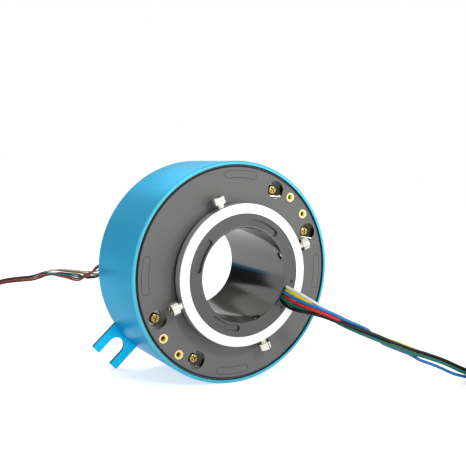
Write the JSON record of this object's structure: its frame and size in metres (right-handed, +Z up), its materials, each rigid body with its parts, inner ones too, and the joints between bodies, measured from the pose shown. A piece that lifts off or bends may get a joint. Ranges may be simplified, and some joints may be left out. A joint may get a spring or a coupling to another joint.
{
  "type": "through-bore slip ring",
  "caption": "Round slip ring with a through bore: carries electric circuits from fixed leads to leads that turn with a shaft clamped in its bore.",
  "frame": {"origin": "on the shaft axis, in the plane of the housing's front rim", "axes": "+Y along the shaft axis, from the rotor's lead end to the rear; +Z up as the ring lies on its round side; +X to the right when it is seen from the lead end"},
  "size_m": [0.3073, 0.2365, 0.119],
  "materials": {
    "blue_anodised_aluminium": "satin cyan-blue anodising",
    "black_anodised_aluminium": "fine satin black anodising",
    "bright_aluminium": "fine turned, bare",
    "black_nylon": "moulded, satin",
    "nickel_plated_steel": "bright nickel plating",
    "yellow_zinc_steel": "yellow passivated zinc plating",
    "bearing_steel": "ground and polished",
    "spring_steel": "dark, oiled",
    "brass": "turned, bright",
    "gold_plated_brass": "gold plated",
    "natural_nylon": "moulded, natural",
    "cream_insulation": "moulded, matte",
    "brown_phenolic": "moulded, matte",
    "black_rubber": "matte",
    "rotor_lead_insulation": "smooth, one colour for each wire: white, yellow, blue, red, green and black",
    "stator_lead_insulation": "smooth, one colour for each thin wire: pink, brown, cream, teal, olive and grey"
  },
  "bodies": {
    "stator": {"housing": "blue_anodised_aluminium", "front_end_cap": "black_anodised_aluminium", "rear_end_cap": "black_anodised_aluminium", "front_opening_covers": "black_nylon", "rear_opening_covers": "black_nylon", "lead_grommet": "black_rubber", "front_cap_screws": "yellow_zinc_steel", "rear_cap_screws": "yellow_zinc_steel", "front_inserts": "brass", "rear_inserts": "brass", "anti_rotation_tab": "blue_anodised_aluminium", "tab_screws": "nickel_plated_steel", "front_outer_race": "bearing_steel", "rear_outer_race": "bearing_steel", "front_bearing_balls": "bearing_steel", "rear_bearing_balls": "bearing_steel", "front_ball_cage": "natural_nylon", "rear_ball_cage": "natural_nylon", "brush_block_1": "brown_phenolic", "brush_block_2": "brown_phenolic", "brush_wires_1": "gold_plated_brass", "brush_wires_2": "gold_plated_brass", "stator_leads": "stator_lead_insulation", "stator_lead_coil": "stator_lead_insulation"},
    "rotor": {"rotor_tube": "black_anodised_aluminium", "wire_guide_ring": "black_nylon", "guide_screws": "nickel_plated_steel", "shaft_collar": "bright_aluminium", "clamp_screw_1": "nickel_plated_steel", "clamp_screw_2": "nickel_plated_steel", "clamp_screw_3": "nickel_plated_steel", "clamp_screw_4": "nickel_plated_steel", "contact_ring_1": "gold_plated_brass", "contact_ring_2": "gold_plated_brass", "contact_ring_3": "gold_plated_brass", "contact_ring_4": "gold_plated_brass", "contact_ring_5": "gold_plated_brass", "contact_ring_6": "gold_plated_brass", "insulator_1": "cream_insulation", "insulator_2": "cream_insulation", "insulator_3": "cream_insulation", "insulator_4": "cream_insulation", "insulator_5": "cream_insulation", "insulator_6": "cream_insulation", "insulator_7": "cream_insulation", "front_inner_race": "bearing_steel", "rear_inner_race": "bearing_steel", "retaining_ring": "spring_steel", "rotor_leads": "rotor_lead_insulation", "rotor_lead_coil": "rotor_lead_insulation"}
  },
  "joints": [
    {"name": "rotor_spin", "type": "hinge", "parent": "stator", "child": "rotor", "pos_m": [0, 0.0242, 0], "axis": [0, 1, 0], "continuous": true}
  ]
}
